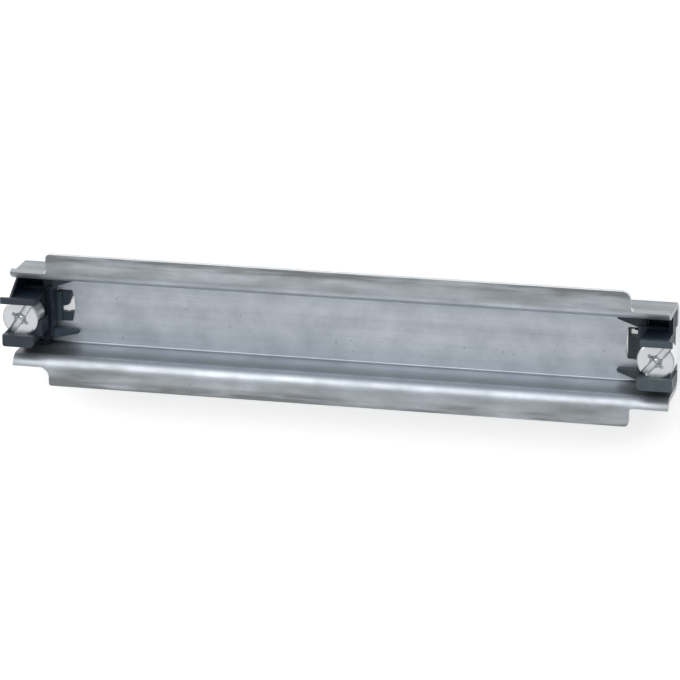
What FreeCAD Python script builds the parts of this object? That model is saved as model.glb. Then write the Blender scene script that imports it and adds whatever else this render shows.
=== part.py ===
"""Hat-section mounting rail with a moulded screw holder and a captive screw at each end.

Frame, in millimetres: X runs along the rail, Y across it, Z up. The rail lies on the
back of its web at Z = 0 with its open side up, and the origin is under its middle.
"""
import os

import FreeCAD
import Part
from FreeCAD import Vector

# Rail profile
RAIL_WIDTH = 35.0
RAIL_HEIGHT = 15.0
SHEET = 1.5
CHANNEL_HALF = 10.0          # middle of the rail to the inner face of a side wall
WEB_BEND_R = 0.6             # inside radius between the web and a wall
FLANGE_BEND_R = 1.9          # inside radius between a wall and a flange
EDGE_BREAK = 0.15            # rolled-over edge of the sheared sheet

# Rail length and its punched ends
RAIL_LENGTH = 169.5
NOTCH_LENGTH = 9.65          # flange cut back at each end
NOTCH_HALF = {"upper": 12.2, "lower": 12.75}     # middle of the rail to the cut beside a wall
SLOT_HALF = 4.15             # open screw slot in the web
SLOT_BULGE = 0.65            # rise of the curved closed end of the slot
SLOT_MOUTH_HALF = 5.2        # slot widened at the rail's end
SLOT_MOUTH_LENGTH = 1.2
# Outer corner of a flange and inner corner of its notch, by end and side
CORNER_R = {
    ("left", "upper"): (1.0, 0.9),
    ("left", "lower"): (0.65, 2.5),
    ("right", "upper"): (2.1, 1.3),
    ("right", "lower"): (1.3, 0.7),
}

# Screw
AXIS_IN = {"left": 2.45, "right": 3.2}   # rail end to the screw's axis
HEAD_D = 9.6
HEAD_HEIGHT = 5.8
HEAD_FRONT = 14.9
HEAD_EDGE = 0.35
SHANK_D = 4.9
SHANK_END = 0.2              # end of the shank above the floor
SHANK_CHAMFER = 0.6
DRIVE_WIDTH = 1.6
DRIVE_DEPTH = 1.4
CROSS_HALF = 2.4
CROSS_WIDTH = 1.1
CROSS_DEPTH = 2.2
DRIVE_ANGLE = {"left": 57.0, "right": 49.0}

# Screw holder: base in the channel. A reach is measured from the screw's axis.
FIT = 0.08                   # clearance of the moulding in the channel and on the screw
WING_REACH = 4.4             # outer parts of the base, beside the side walls
WING_TOP = 5.5
BLOCK_REACH = 5.95           # middle part of the base
BLOCK_TOP = 6.3
BLOCK_UPPER = 6.2            # middle of the rail to the upper face of the middle part
BASE_CORNER_R = 1.1          # lower corners, just clear of the rail's bend
POCKET_FLOOR = 3.0
BASE_INSET = {"left": 0.0, "right": 0.35}     # rail end to the base's outer face
WALL = 1.1                   # moulded wall beside a pocket
MERGE = 0.5                  # depth by which moulded features run into each other

# Screw holder: collar that keeps the screw head in
COLLAR_TOP = 17.1
LIP_UPPER = 4.25             # axis to the upper lip
LIP_LOWER = 4.0              # axis to the lower lip
SHELF = 1.65                 # width of the upper lip plate across the rail
SHELF_STEP = 0.35            # plate's overhang above the wall below it
SHELF_HEIGHT = 0.8
CRADLE = 3.05                # thickness of the lower lip block
CRADLE_R = {"inner": 1.3, "outer": 0.6}
CRADLE_HORN = 2.1            # axis to the tip of the horn at the block's outer end
CHEEK_REACH = 5.5            # left cheek that wraps the head's lower inner side: axis to its far face
CHEEK_UPPER = -0.5           # middle of the rail to the cheek's upper face
CHEEK_TOP = 14.6
# Reach of each lip past the rail's end, and from the axis inward
LIP_SPAN = {
    ("left", "upper"): (2.1, 4.4),
    ("left", "lower"): (1.8, 4.05),
    ("right", "upper"): (1.25, 3.65),
    ("right", "lower"): (1.3, 4.4),
}
GUSSET_FOOT = (9.85, 8.2)    # end wall's upper edge at the channel, half way and at its tip
GUSSET_KNEE = (7.6, 12.5)
GUSSET_TIP = (5.5, 16.3)
GUSSET_THICKNESS = 0.6

# Screw holder: spring arms on the web
ARM_REACH = 11.75
ARM_TIP_TOP = 2.7
ARM_TIP_R = 0.35
# Middle of the rail to the inner face at root and tip, and to the outer face at root and tip
ARM_FACES = {
    ("left", "upper"): (5.4, 7.3, 8.6, 8.3),
    ("left", "lower"): (5.05, 6.25, 8.0, 7.15),
    ("right", "upper"): (5.1, 6.5, 8.9, 7.5),
    ("right", "lower"): (6.1, 6.45, 8.9, 7.4),
}

# Screw holder: catch in the web slot
HOOK_REACH = 1.5             # beyond the base's middle part
HOOK_TOP = 2.8
HOOK_LOW = 1.2
HOOK_HALF = 3.9
HOOK_R = 0.9
SLOT_ROOM = 2.35             # right hook to the closed end of the slot
TOE_LOW = 0.1
TOE_TOP = 1.8
TOE_HALF = SLOT_HALF - 0.15
SLOT_LENGTH = AXIS_IN["right"] + BLOCK_REACH + HOOK_REACH + SLOT_ROOM
# Toe corners by distance from the slot's closed end and from the rail's middle, hook side left out
TOES = {
    "left": [[(2.6, -0.05), (1.55, 0.3), (1.3, 1.2), (0.75, 2.3), (0.75, TOE_HALF)],
             [(0.75, -TOE_HALF), (0.5, -1.5), (1.5, -1.6), (1.9, -1.9), (2.6, -1.7)]],
    "right": [[(0.7, -TOE_HALF), (0.7, TOE_HALF)]],
}
RIGHT_WINDOW = (1.3, 2.1, 3.85)      # its distance from the closed end, and its two sides


def box(x0: float, x1: float, y0: float, y1: float, z0: float, z1: float) -> Part.Shape:
    """Makes an axis-parallel block from its limits."""
    return Part.makeBox(x1 - x0, y1 - y0, z1 - z0, Vector(x0, y0, z0))


def prism(points: list, low: float, high: float) -> Part.Shape:
    """Makes an upright prism on a closed plan outline."""
    wire = Part.makePolygon([Vector(x, y, low) for x, y in points + points[:1]])
    return Part.Face(wire).extrude(Vector(0, 0, high - low))


def round_edges(shape: Part.Shape, radius: float, wanted) -> Part.Shape:
    """Rounds the edges for which the test holds."""
    edges = [edge for edge in shape.Edges if wanted(edge)]
    return shape.makeFillet(radius, edges) if edges else shape


def upright(edge: Part.Edge) -> bool:
    """Tells whether an edge stands parallel to Z."""
    ends = [vertex.Point for vertex in edge.Vertexes]
    return (len(ends) == 2 and abs(ends[0].x - ends[1].x) < 1e-6
            and abs(ends[0].y - ends[1].y) < 1e-6)


def near(edge: Part.Edge, x: float, y: float, reach: float = 0.05) -> bool:
    """Tells whether an upright edge stands at a plan position."""
    return upright(edge) and (edge.Vertexes[0].Point - Vector(x, y, edge.Vertexes[0].Z)).Length < reach


def hat_profile() -> Part.Face:
    """Draws the hat section in the Y-Z plane with its four bends."""
    outer = CHANNEL_HALF + SHEET
    half = RAIL_WIDTH / 2
    inside = [(-half, RAIL_HEIGHT), (-CHANNEL_HALF, RAIL_HEIGHT), (-CHANNEL_HALF, SHEET),
              (CHANNEL_HALF, SHEET), (CHANNEL_HALF, RAIL_HEIGHT), (half, RAIL_HEIGHT)]
    outside = [(half, RAIL_HEIGHT - SHEET), (outer, RAIL_HEIGHT - SHEET), (outer, 0.0),
               (-outer, 0.0), (-outer, RAIL_HEIGHT - SHEET), (-half, RAIL_HEIGHT - SHEET)]
    points = [Vector(0, y, z) for y, z in inside + outside]
    return Part.Face(Part.makePolygon(points + points[:1]))


def bend_rail(length: float) -> Part.Shape:
    """Extrudes the hat section along X and rounds its bends and sheared edges."""
    solid = hat_profile().extrude(Vector(length, 0, 0))
    solid.translate(Vector(-length / 2, 0, 0))
    outer = CHANNEL_HALF + SHEET
    bends = [
        (WEB_BEND_R, {(CHANNEL_HALF, SHEET)}),
        (WEB_BEND_R + SHEET, {(outer, 0.0)}),
        (FLANGE_BEND_R, {(outer, RAIL_HEIGHT - SHEET)}),
        (FLANGE_BEND_R + SHEET, {(CHANNEL_HALF, RAIL_HEIGHT)}),
        (EDGE_BREAK, {(RAIL_WIDTH / 2, RAIL_HEIGHT), (RAIL_WIDTH / 2, RAIL_HEIGHT - SHEET)}),
    ]

    def along(edge: Part.Edge, places: set) -> bool:
        point = edge.CenterOfMass
        return edge.Length > length - 1 and any(
            abs(abs(point.y) - y) < 1e-4 and abs(point.z - z) < 1e-4 for y, z in places)

    for radius, places in bends:
        solid = round_edges(solid, radius, lambda edge: along(edge, places))
    return solid


def notch_cutter(end: str, side: str) -> Part.Shape:
    """Makes the punch that cuts a flange back at one end."""
    sx = -1 if end == "left" else 1
    sy = 1 if side == "upper" else -1
    half = RAIL_LENGTH / 2
    inner = half - NOTCH_LENGTH
    cut = NOTCH_HALF[side]
    wide = RAIL_WIDTH
    points = [(sx * inner, sy * wide), (sx * inner, sy * cut),
              (sx * (half + wide), sy * cut), (sx * (half + wide), sy * wide)]
    cutter = prism(points, -1.0, RAIL_HEIGHT + 1.0)
    return round_edges(cutter, CORNER_R[end, side][1],
                       lambda edge: near(edge, sx * inner, sy * cut))


def slot_cutter(end: str) -> Part.Shape:
    """Makes the punch for the open web slot, bulged at its closed end."""
    sx = -1 if end == "left" else 1
    half = RAIL_LENGTH / 2
    tip = half - SLOT_LENGTH
    outside = half + RAIL_WIDTH
    shoulder = tip + SLOT_BULGE
    low = Vector(sx * shoulder, -SLOT_HALF, -1)
    high = Vector(sx * shoulder, SLOT_HALF, -1)
    arc = Part.Arc(high, Vector(sx * tip, 0, -1), low).toShape()
    far_low = Vector(sx * outside, -SLOT_HALF, -1)
    far_high = Vector(sx * outside, SLOT_HALF, -1)
    wire = Part.Wire([arc, Part.makeLine(low, far_low), Part.makeLine(far_low, far_high),
                      Part.makeLine(far_high, high)])
    slot = Part.Face(wire).extrude(Vector(0, 0, SHEET + 2))
    mouth = prism([(sx * (half - SLOT_MOUTH_LENGTH), -SLOT_HALF), (sx * half, -SLOT_MOUTH_HALF),
                   (sx * outside, -SLOT_MOUTH_HALF), (sx * outside, SLOT_MOUTH_HALF),
                   (sx * half, SLOT_MOUTH_HALF), (sx * (half - SLOT_MOUTH_LENGTH), SLOT_HALF)],
                  -1.0, SHEET + 1.0)
    return slot.fuse(mouth)


def make_rail() -> Part.Shape:
    """Builds the rail with notched flanges, rounded corners and two web slots."""
    solid = bend_rail(RAIL_LENGTH)
    cutters = [notch_cutter(end, side) for end, side in CORNER_R]
    cutters += [slot_cutter(end) for end in AXIS_IN]
    solid = solid.cut(cutters)
    flange_end = RAIL_LENGTH / 2 - NOTCH_LENGTH
    for (end, side), (corner, _) in CORNER_R.items():
        x = flange_end * (-1 if end == "left" else 1)
        y = RAIL_WIDTH / 2 * (1 if side == "upper" else -1)
        reach = corner * 2
        keep = box(min(x, x - reach * (1 if x > 0 else -1)), max(x, x - reach * (1 if x > 0 else -1)),
                   min(y, y - reach * (1 if y > 0 else -1)), max(y, y - reach * (1 if y > 0 else -1)),
                   0.0, RAIL_HEIGHT)
        rounded = round_edges(keep, corner, lambda edge: near(edge, x, y))
        solid = solid.cut(keep.cut(rounded))
    return solid.removeSplitter()


def holder_base(axis: float, end: str) -> Part.Shape:
    """Makes the base in the channel, with a pocket beside each side wall."""
    outer = CHANNEL_HALF - FIT
    floor = SHEET + FIT
    start = BASE_INSET[end]
    far = axis + WING_REACH
    wings = box(start, far, -outer, outer, floor, WING_TOP)
    wings = round_edges(wings, BASE_CORNER_R, lambda edge: edge.CenterOfMass.z < floor + 0.01
                        and abs(abs(edge.CenterOfMass.y) - outer) < 0.01)
    lower = LIP_LOWER + CRADLE
    block = box(start, axis + BLOCK_REACH, -lower, BLOCK_UPPER, floor, BLOCK_TOP)
    pockets = [box(WALL, far - WALL, min(y0, y1), max(y0, y1), POCKET_FLOOR, WING_TOP + 1)
               for y0, y1 in ((BLOCK_UPPER, outer - WALL), (-lower, WALL - outer))]
    return wings.cut(pockets).fuse(block)


def spring_arm(axis: float, end: str, side: str) -> Part.Shape:
    """Makes one fin on the web beside a side wall, lower and thinner towards its tip."""
    sign = 1 if side == "upper" else -1
    root_in, tip_in, root_out, tip_out = (sign * y for y in ARM_FACES[end, side])
    root = axis + WING_REACH - MERGE
    tip = axis + ARM_REACH
    arm = prism([(root, root_in), (tip, tip_in), (tip, tip_out), (root, root_out)], SHEET + FIT, BLOCK_TOP)
    arm = round_edges(arm, ARM_TIP_R, lambda edge: near(edge, tip, tip_in) or near(edge, tip, tip_out))
    beyond = tip + MERGE
    above = BLOCK_TOP + MERGE
    corners = [Vector(root, 0, above), Vector(root, 0, BLOCK_TOP), Vector(tip, 0, ARM_TIP_TOP),
               Vector(beyond, 0, ARM_TIP_TOP), Vector(beyond, 0, above)]
    slope = Part.Face(Part.makePolygon(corners + corners[:1])).extrude(Vector(0, sign * CHANNEL_HALF, 0))
    return arm.cut(slope)


def end_wall(end: str) -> Part.Shape:
    """Makes the wall at the rail's end, which on the left sweeps up to the upper lip."""
    inner = LIP_UPPER + SHELF - SHELF_STEP - MERGE
    if end == "right":
        return box(0, WALL, inner, GUSSET_FOOT[0], WING_TOP - MERGE, GUSSET_FOOT[1])
    foot, knee, tip = (Vector(0, *place) for place in (GUSSET_FOOT, GUSSET_KNEE, GUSSET_TIP))
    arc = Part.Arc(foot, knee, tip).toShape()
    base_out = Vector(0, foot.y, WING_TOP - MERGE)
    base_in = Vector(0, inner, WING_TOP - MERGE)
    top_in = Vector(0, inner, tip.z)
    wire = Part.Wire([arc, Part.makeLine(tip, top_in), Part.makeLine(top_in, base_in),
                      Part.makeLine(base_in, base_out), Part.makeLine(base_out, foot)])
    return Part.Face(wire).extrude(Vector(GUSSET_THICKNESS, 0, 0))


def collar(axis: float, end: str) -> Part.Shape:
    """Makes the collar: an upper lip plate on its wall, and a lower lip block with its horn."""
    seat = HEAD_FRONT - HEAD_HEIGHT - FIT
    out_up, reach_up = LIP_SPAN[end, "upper"]
    out_low, reach_low = LIP_SPAN[end, "lower"]
    in_up = axis + reach_up
    in_low = axis + reach_low
    step = LIP_UPPER + SHELF - SHELF_STEP
    far = LIP_LOWER + CRADLE
    core = box(BASE_INSET[end], in_up, -far, step, BLOCK_TOP - MERGE, seat)
    wall = box(0, in_up, LIP_UPPER, step, seat - MERGE, COLLAR_TOP - MERGE)
    plate = box(-out_up, in_up, LIP_UPPER, LIP_UPPER + SHELF, COLLAR_TOP - SHELF_HEIGHT, COLLAR_TOP)
    cradle = box(-out_low, in_low, -far, -LIP_LOWER, seat - MERGE, COLLAR_TOP)
    for place, x in (("inner", in_low), ("outer", -out_low)):
        cradle = round_edges(cradle, CRADLE_R[place], lambda edge: near(edge, x, -far))
    horn = prism([(-out_low, -LIP_LOWER - MERGE), (-out_low + MERGE, -LIP_LOWER), (0.0, -CRADLE_HORN),
                  (MERGE, -CRADLE_HORN), (MERGE, -LIP_LOWER - MERGE)], seat - MERGE, HEAD_FRONT)
    body = core.fuse([wall, plate, cradle, horn])
    if end == "left":
        body = body.fuse(box(axis, axis + CHEEK_REACH, -LIP_LOWER - MERGE, CHEEK_UPPER,
                             seat - MERGE, CHEEK_TOP))
    return body


def catch(axis: float, end: str) -> Part.Shape:
    """Makes the hook at the mouth of the web slot, with its flat toes inside the slot."""
    start = axis + BLOCK_REACH
    face = start + HOOK_REACH
    hook = box(start - MERGE, face, -HOOK_HALF, HOOK_HALF, HOOK_LOW, HOOK_TOP)
    hook = round_edges(hook, HOOK_R, lambda edge: edge.CenterOfMass.z > HOOK_TOP - 0.01
                       and edge.CenterOfMass.x > face - 0.01)
    toes = []
    for corners in TOES[end]:
        outline = [(SLOT_LENGTH - back, y) for back, y in corners]
        root = face - HOOK_R - MERGE
        toes.append(prism([(root, outline[0][1])] + outline + [(root, outline[-1][1])], TOE_LOW, TOE_TOP))
    body = hook.fuse(toes)
    if end == "right":
        back, low, high = RIGHT_WINDOW
        body = body.cut(box(start, SLOT_LENGTH - back, low, high, 0, HOOK_TOP + 1))
    return body


def make_holder(end: str) -> Part.Shape:
    """Builds one moulded holder, first at the left end with X measured from the rail's end."""
    axis = AXIS_IN[end]
    body = holder_base(axis, end).fuse([end_wall(end), collar(axis, end), catch(axis, end),
                                   spring_arm(axis, end, "upper"), spring_arm(axis, end, "lower")])
    seat = HEAD_FRONT - HEAD_HEIGHT - FIT
    top = HEAD_FRONT + FIT
    head_room = Part.makeCylinder(HEAD_D / 2 + FIT, top - seat, Vector(axis, 0, seat))
    bore = Part.makeCylinder(SHANK_D / 2 + FIT, COLLAR_TOP, Vector(axis, 0, -1))
    body = body.cut([head_room, bore]).removeSplitter()
    body.translate(Vector(-RAIL_LENGTH / 2, 0, 0))
    if end == "right":
        body = body.mirror(Vector(0, 0, 0), Vector(1, 0, 0))
    return body


def make_screw(end: str) -> Part.Shape:
    """Builds one cheese-head screw with a slot and a cross recess in its head."""
    seat = HEAD_FRONT - HEAD_HEIGHT
    head = Part.makeCylinder(HEAD_D / 2, HEAD_HEIGHT, Vector(0, 0, seat))
    head = round_edges(head, HEAD_EDGE, lambda edge: edge.CenterOfMass.z > HEAD_FRONT - 0.01
                       and edge.Length > HEAD_D * 3)
    shank = Part.makeCylinder(SHANK_D / 2, seat - SHANK_END, Vector(0, 0, SHANK_END))
    shank = shank.makeChamfer(SHANK_CHAMFER, [edge for edge in shank.Edges
                                              if edge.CenterOfMass.z < SHANK_END + 0.01
                                              and edge.Length > SHANK_D * 3])
    screw = head.fuse(shank)
    slot = box(-HEAD_D, HEAD_D, -DRIVE_WIDTH / 2, DRIVE_WIDTH / 2, HEAD_FRONT - DRIVE_DEPTH, HEAD_FRONT + 1)
    cross = box(-CROSS_WIDTH / 2, CROSS_WIDTH / 2, -CROSS_HALF, CROSS_HALF,
                HEAD_FRONT - CROSS_DEPTH, HEAD_FRONT + 1)
    screw = screw.cut([slot, cross]).removeSplitter()
    screw.rotate(Vector(0, 0, 0), Vector(0, 0, 1), DRIVE_ANGLE[end])
    sign = -1 if end == "left" else 1
    screw.translate(Vector(sign * (RAIL_LENGTH / 2 - AXIS_IN[end]), 0, 0))
    return screw


os.makedirs("parts", exist_ok=True)
make_rail().exportStep("parts/rail.step")
for place in AXIS_IN:
    make_holder(place).exportStep(f"parts/screw_holder_{place}.step")
    make_screw(place).exportStep(f"parts/screw_{place}.step")
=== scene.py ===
"""Dresses a zinc-coated hat rail, its two moulded screw holders and their captive screws."""

import logging
import math
from dataclasses import dataclass, field
from enum import Enum

import bmesh
import bpy
from mathutils import Matrix, Vector


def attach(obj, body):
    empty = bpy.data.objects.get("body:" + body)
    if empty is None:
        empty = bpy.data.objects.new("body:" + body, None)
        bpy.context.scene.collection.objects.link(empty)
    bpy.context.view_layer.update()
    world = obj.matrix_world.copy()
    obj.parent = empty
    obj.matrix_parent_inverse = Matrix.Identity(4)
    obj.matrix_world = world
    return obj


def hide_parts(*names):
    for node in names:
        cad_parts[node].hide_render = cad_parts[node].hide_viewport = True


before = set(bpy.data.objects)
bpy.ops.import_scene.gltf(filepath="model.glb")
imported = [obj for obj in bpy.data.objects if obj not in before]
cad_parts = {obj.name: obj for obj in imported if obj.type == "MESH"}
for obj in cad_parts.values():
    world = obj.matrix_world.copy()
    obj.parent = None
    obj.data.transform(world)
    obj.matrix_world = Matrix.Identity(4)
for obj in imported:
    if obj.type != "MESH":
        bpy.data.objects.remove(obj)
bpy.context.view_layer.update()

MM = 0.001
QUARTER = math.pi / 2
PAST = 1.0              # how far a cutting tool runs past what it cuts, in millimetres
BODY = "root"
LOG = logging.getLogger("hat_rail")


class End(Enum):
    """The two ends of the rail, with the sign of X there."""

    LEFT = -1
    RIGHT = 1


class Side(Enum):
    """The two sides of the rail, with the sign of Y there."""

    UPPER = 1
    LOWER = -1


class Join(Enum):
    """What a tool does to a solid."""

    ADD = "UNION"
    CUT = "DIFFERENCE"


class Along(Enum):
    """Axes to lay an upright prism along, with the rows of the turn that does it."""

    X = ((0, 0, 1), (1, 0, 0), (0, 1, 0))       # for an outline in Y and Z
    Y = ((1, 0, 0), (0, 0, 1), (0, 1, 0))       # for an outline in X and Z


def linear(code: str) -> tuple[float, float, float, float]:
    """Turns an sRGB hex colour into the linear values that shaders take.

    Args:
        code: Six hex digits, red first.

    Returns:
        Linear red, green and blue, and full opacity.
    """
    shares = [int(code[i:i + 2], 16) / 255 for i in (0, 2, 4)]
    red, green, blue = (c / 12.92 if c <= 0.04045 else ((c + 0.055) / 1.055) ** 2.4 for c in shares)
    return red, green, blue, 1.0


def add_node(tree: bpy.types.NodeTree, kind: str, inputs: dict | None = None,
             **settings: object) -> bpy.types.Node:
    """Adds a node, sets its properties, and fills or links its inputs.

    Args:
        tree: The node tree to add to.
        kind: The node's type name.
        inputs: Input name or index to a plain value or to an output socket.
        settings: Properties of the node itself.

    Returns:
        The new node.
    """
    node = tree.nodes.new(kind)
    for name, value in settings.items():
        setattr(node, name, value)
    for key, value in (inputs or {}).items():
        if isinstance(value, bpy.types.NodeSocket):
            tree.links.new(value, node.inputs[key])
        else:
            node.inputs[key].default_value = value
    return node


def new_material(name: str) -> tuple[bpy.types.Material, bpy.types.NodeTree]:
    """Makes an empty node material.

    Args:
        name: The material's name.

    Returns:
        The material and its cleared node tree.
    """
    material = bpy.data.materials.new(name)
    material.use_nodes = True
    material.node_tree.nodes.clear()
    return material, material.node_tree


def object_pattern(tree: bpy.types.NodeTree, size_mm: tuple[float, float, float]) -> bpy.types.NodeSocket:
    """Gives Object coordinates in which a pattern of scale 1 has features of the given sizes.

    Args:
        tree: The material's node tree.
        size_mm: Length of one feature along X, Y and Z; with 1 for each, it gives millimetres.

    Returns:
        The scaled vector output.
    """
    place = add_node(tree, "ShaderNodeTexCoord")
    scale = tuple(1 / (size * MM) for size in size_mm)
    return add_node(tree, "ShaderNodeMapping", {"Vector": place.outputs["Object"], "Scale": scale}).outputs[0]


@dataclass(frozen=True)
class Fade:
    """A value that runs from low to high while its source runs from start to end."""

    start: float
    end: float
    low: float = 0.0
    high: float = 1.0

    def of(self, source: bpy.types.NodeSocket) -> dict[str, object]:
        """Gives the inputs with which a Map Range node follows a place in millimetres or a pattern."""
        return {"Value": source, "From Min": self.start, "From Max": self.end,
                "To Min": self.low, "To Max": self.high}


@dataclass(frozen=True)
class GalvanisedSteel:
    """Hot-dip galvanised steel strip, formed cold between rolls. Sizes and places in millimetres."""

    light: str = "DCE3EB"
    dark: str = "BDC5CE"
    # darker tone: smudges and darkening on the flanges, painted shade on the walls
    smudge_and_shade: str = "8B8F91"
    speck: str = "8E959C"
    metallic: float = 0.85                          # the chalky oxide film scatters the rest
    roughness: Fade = Fade(0.38, 0.62, 0.46, 0.38)  # duller in the dark clouds
    line: float = 0.5                               # width of a rolling line, drawn coarser than real to show
    line_length: float = 45.0
    line_depth: float = 0.01
    line_relief: float = 0.1
    line_share: float = 0.3                         # against the bands
    band: float = 3.5                               # soft bands that the coating bath left along the strip
    band_length: float = 90.0
    cloud: float = 7.0
    cloud_share: float = 0.5                        # against lines and bands
    contrast: Fade = Fade(0.34, 0.66)
    speck_spacing: float = 4.57
    speck_rim: Fade = Fade(0.03, 0.1, 0.5, 0.0)     # outwards from a speck's middle, by shares of the spacing
    raised: Fade = Fade(13.2, 14.95, 0.0, 0.42)     # darker up to the flanges' front
    smudge: tuple[float, float, float] = (16.0, 4.0, 4.0)
    smudged: Fade = Fade(0.35, 0.65, 0.5, 1.6)
    ends: Fade = Fade(50.0, 73.0, 1.0, 1.45)        # more of it towards the flanges' ends
    edge: Fade = Fade(14.8, 16.8, 0.0, 0.5)         # darker out to the flanges' long edges
    patch: tuple[float, float, float] = (18.0, 1.2, 1.2)
    patchy: Fade = Fade(0.4, 0.62, 0.15, 1.4)
    wall: Fade = Fade(10.2, 11.1, 0.0, 0.95)        # painted shade out to the walls' outer faces
    wall_middle: float = 0.6                        # what the walls' painted shade is centred on, across the rail
    least_shade_height: float = 4.6                       # height at which the walls get the least painted shade
    shade_widening: float = 0.1                        # how fast the painted shade widens above and below it
    bend: Fade = Fade(12.0, 13.0, 1.0, 0.0)         # up to where the walls turn into the flanges
    bend_slope: float = 0.05                        # how much lower that is on the lower side

    def tone(self, tree: bpy.types.NodeTree) -> tuple[bpy.types.NodeSocket, bpy.types.NodeSocket]:
        """Mixes the coating's clouds, bands and rolling lines.

        Args:
            tree: The material's node tree.

        Returns:
            The mixed tone and the rolling lines alone.
        """
        lines, bands = (
            add_node(tree, "ShaderNodeTexNoise", {
                "Vector": object_pattern(tree, (length, width, width)), "Scale": 1.0, "Detail": detail})
            for length, width, detail in ((self.line_length, self.line, 2.0),
                                          (self.band_length, self.band, 1.0)))
        clouds = add_node(tree, "ShaderNodeTexNoise", {
            "Vector": object_pattern(tree, (self.cloud,) * 3), "Scale": 1.0, "Detail": 3.0,
            "Roughness": 0.65})
        along = add_node(tree, "ShaderNodeMix", {
            "Factor": self.line_share, 2: bands.outputs[0], 3: lines.outputs[0]}, data_type="FLOAT")
        mixed = add_node(tree, "ShaderNodeMix", {
            "Factor": self.cloud_share, 2: along.outputs[0], 3: clouds.outputs[0]}, data_type="FLOAT")
        return mixed.outputs[0], lines.outputs[0]

    def flange_darkening(self, tree: bpy.types.NodeTree,
                    place: list[bpy.types.NodeSocket]) -> bpy.types.NodeSocket:
        """Measures how much a flange is darkened: on its front, smudged, more so at its ends, and in patches
        along its edge.

        Args:
            tree: The material's node tree.
            place: X, Y and Z in millimetres.

        Returns:
            The share of the darker tone.
        """
        along, across = (add_node(tree, "ShaderNodeMath", {0: way}, operation="ABSOLUTE").outputs[0]
                         for way in place[:2])
        smudges, patches = (
            add_node(tree, "ShaderNodeTexNoise", {
                "Vector": object_pattern(tree, size), "Scale": 1.0, "Detail": detail}).outputs[0]
            for size, detail in ((self.smudge, 3.0), (self.patch, 2.0)))
        raised, smudged, ends, edge, patchy = (
            add_node(tree, "ShaderNodeMapRange", fade.of(source)).outputs[0]
            for fade, source in ((self.raised, place[2]), (self.smudged, smudges), (self.ends, along),
                                 (self.edge, across), (self.patchy, patches)))
        darker_front, rim = (add_node(tree, "ShaderNodeMath", {0: share, 1: broken}, operation="MULTIPLY")
                        for share, broken in ((raised, smudged), (edge, patchy)))
        return add_node(tree, "ShaderNodeMath", {0: darker_front.outputs[0], 1: ends, 2: rim.outputs[0]},
                        operation="MULTIPLY_ADD", use_clamp=True).outputs[0]

    def wall_painted_shade(self, tree: bpy.types.NodeTree,
                  place: list[bpy.types.NodeSocket]) -> bpy.types.NodeSocket:
        """Measures the painted shade on a wall: least a little above the web, and none on its bend.

        Args:
            tree: The material's node tree.
            place: X, Y and Z in millimetres.

        Returns:
            The share of the darker tone, as painted shade.
        """
        shifts = [add_node(tree, "ShaderNodeMath", {0: way, 1: middle}, operation="SUBTRACT")
                  for way, middle in zip(place[1:], (self.wall_middle, self.least_shade_height))]
        apart, away = (add_node(tree, "ShaderNodeMath", {0: shift.outputs[0]}, operation="ABSOLUTE")
                       for shift in shifts)
        reach = add_node(tree, "ShaderNodeMath", {
            0: away.outputs[0], 1: self.shade_widening, 2: apart.outputs[0]}, operation="MULTIPLY_ADD")
        height = add_node(tree, "ShaderNodeMath", {
            0: place[1], 1: -self.bend_slope, 2: place[2]}, operation="MULTIPLY_ADD")
        beyond, below = (
            add_node(tree, "ShaderNodeMapRange", fade.of(source.outputs[0])).outputs[0]
            for fade, source in ((self.wall, reach), (self.bend, height)))
        return add_node(tree, "ShaderNodeMath", {0: beyond, 1: below}, operation="MULTIPLY").outputs[0]

    def build(self) -> bpy.types.Material:
        """Builds the shader.

        Returns:
            The material.
        """
        # The zinc coat gives a soft blue-grey sheen, lined along the rail, darker on the flanges, painted
        # shade on the walls
        material, tree = new_material("hot_dip_galvanised_strip")
        tone, lines = self.tone(tree)
        place = list(add_node(tree, "ShaderNodeSeparateXYZ", {0: object_pattern(tree, (1, 1, 1))}).outputs)
        # The darker tone: smudges and darkening on the flanges, painted shade on the walls
        darkened_share = add_node(tree, "ShaderNodeMath", {
            0: self.flange_darkening(tree, place), 1: self.wall_painted_shade(tree, place)}, operation="MAXIMUM")
        cells = add_node(tree, "ShaderNodeTexVoronoi", {
            "Vector": object_pattern(tree, (self.speck_spacing,) * 3), "Scale": 1.0})
        spread, speck, rough = (
            add_node(tree, "ShaderNodeMapRange", fade.of(source)).outputs[0]
            for fade, source in ((self.contrast, tone), (self.speck_rim, cells.outputs["Distance"]),
                                 (self.roughness, tone)))
        colour = linear(self.dark)
        for share, layer in ((spread, self.light), (darkened_share.outputs[0], self.smudge_and_shade), (speck, self.speck)):
            colour = add_node(tree, "ShaderNodeMix", {"Factor": share, 6: colour, 7: linear(layer)},
                              data_type="RGBA").outputs[2]
        bump = add_node(tree, "ShaderNodeBump", {
            "Strength": self.line_relief, "Distance": self.line_depth * MM, "Height": lines})
        shader = add_node(tree, "ShaderNodeBsdfPrincipled", {
            "Base Color": colour, "Metallic": self.metallic, "Roughness": rough,
            "Normal": bump.outputs[0]})
        add_node(tree, "ShaderNodeOutputMaterial", {"Surface": shader.outputs[0]})
        return material


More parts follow.
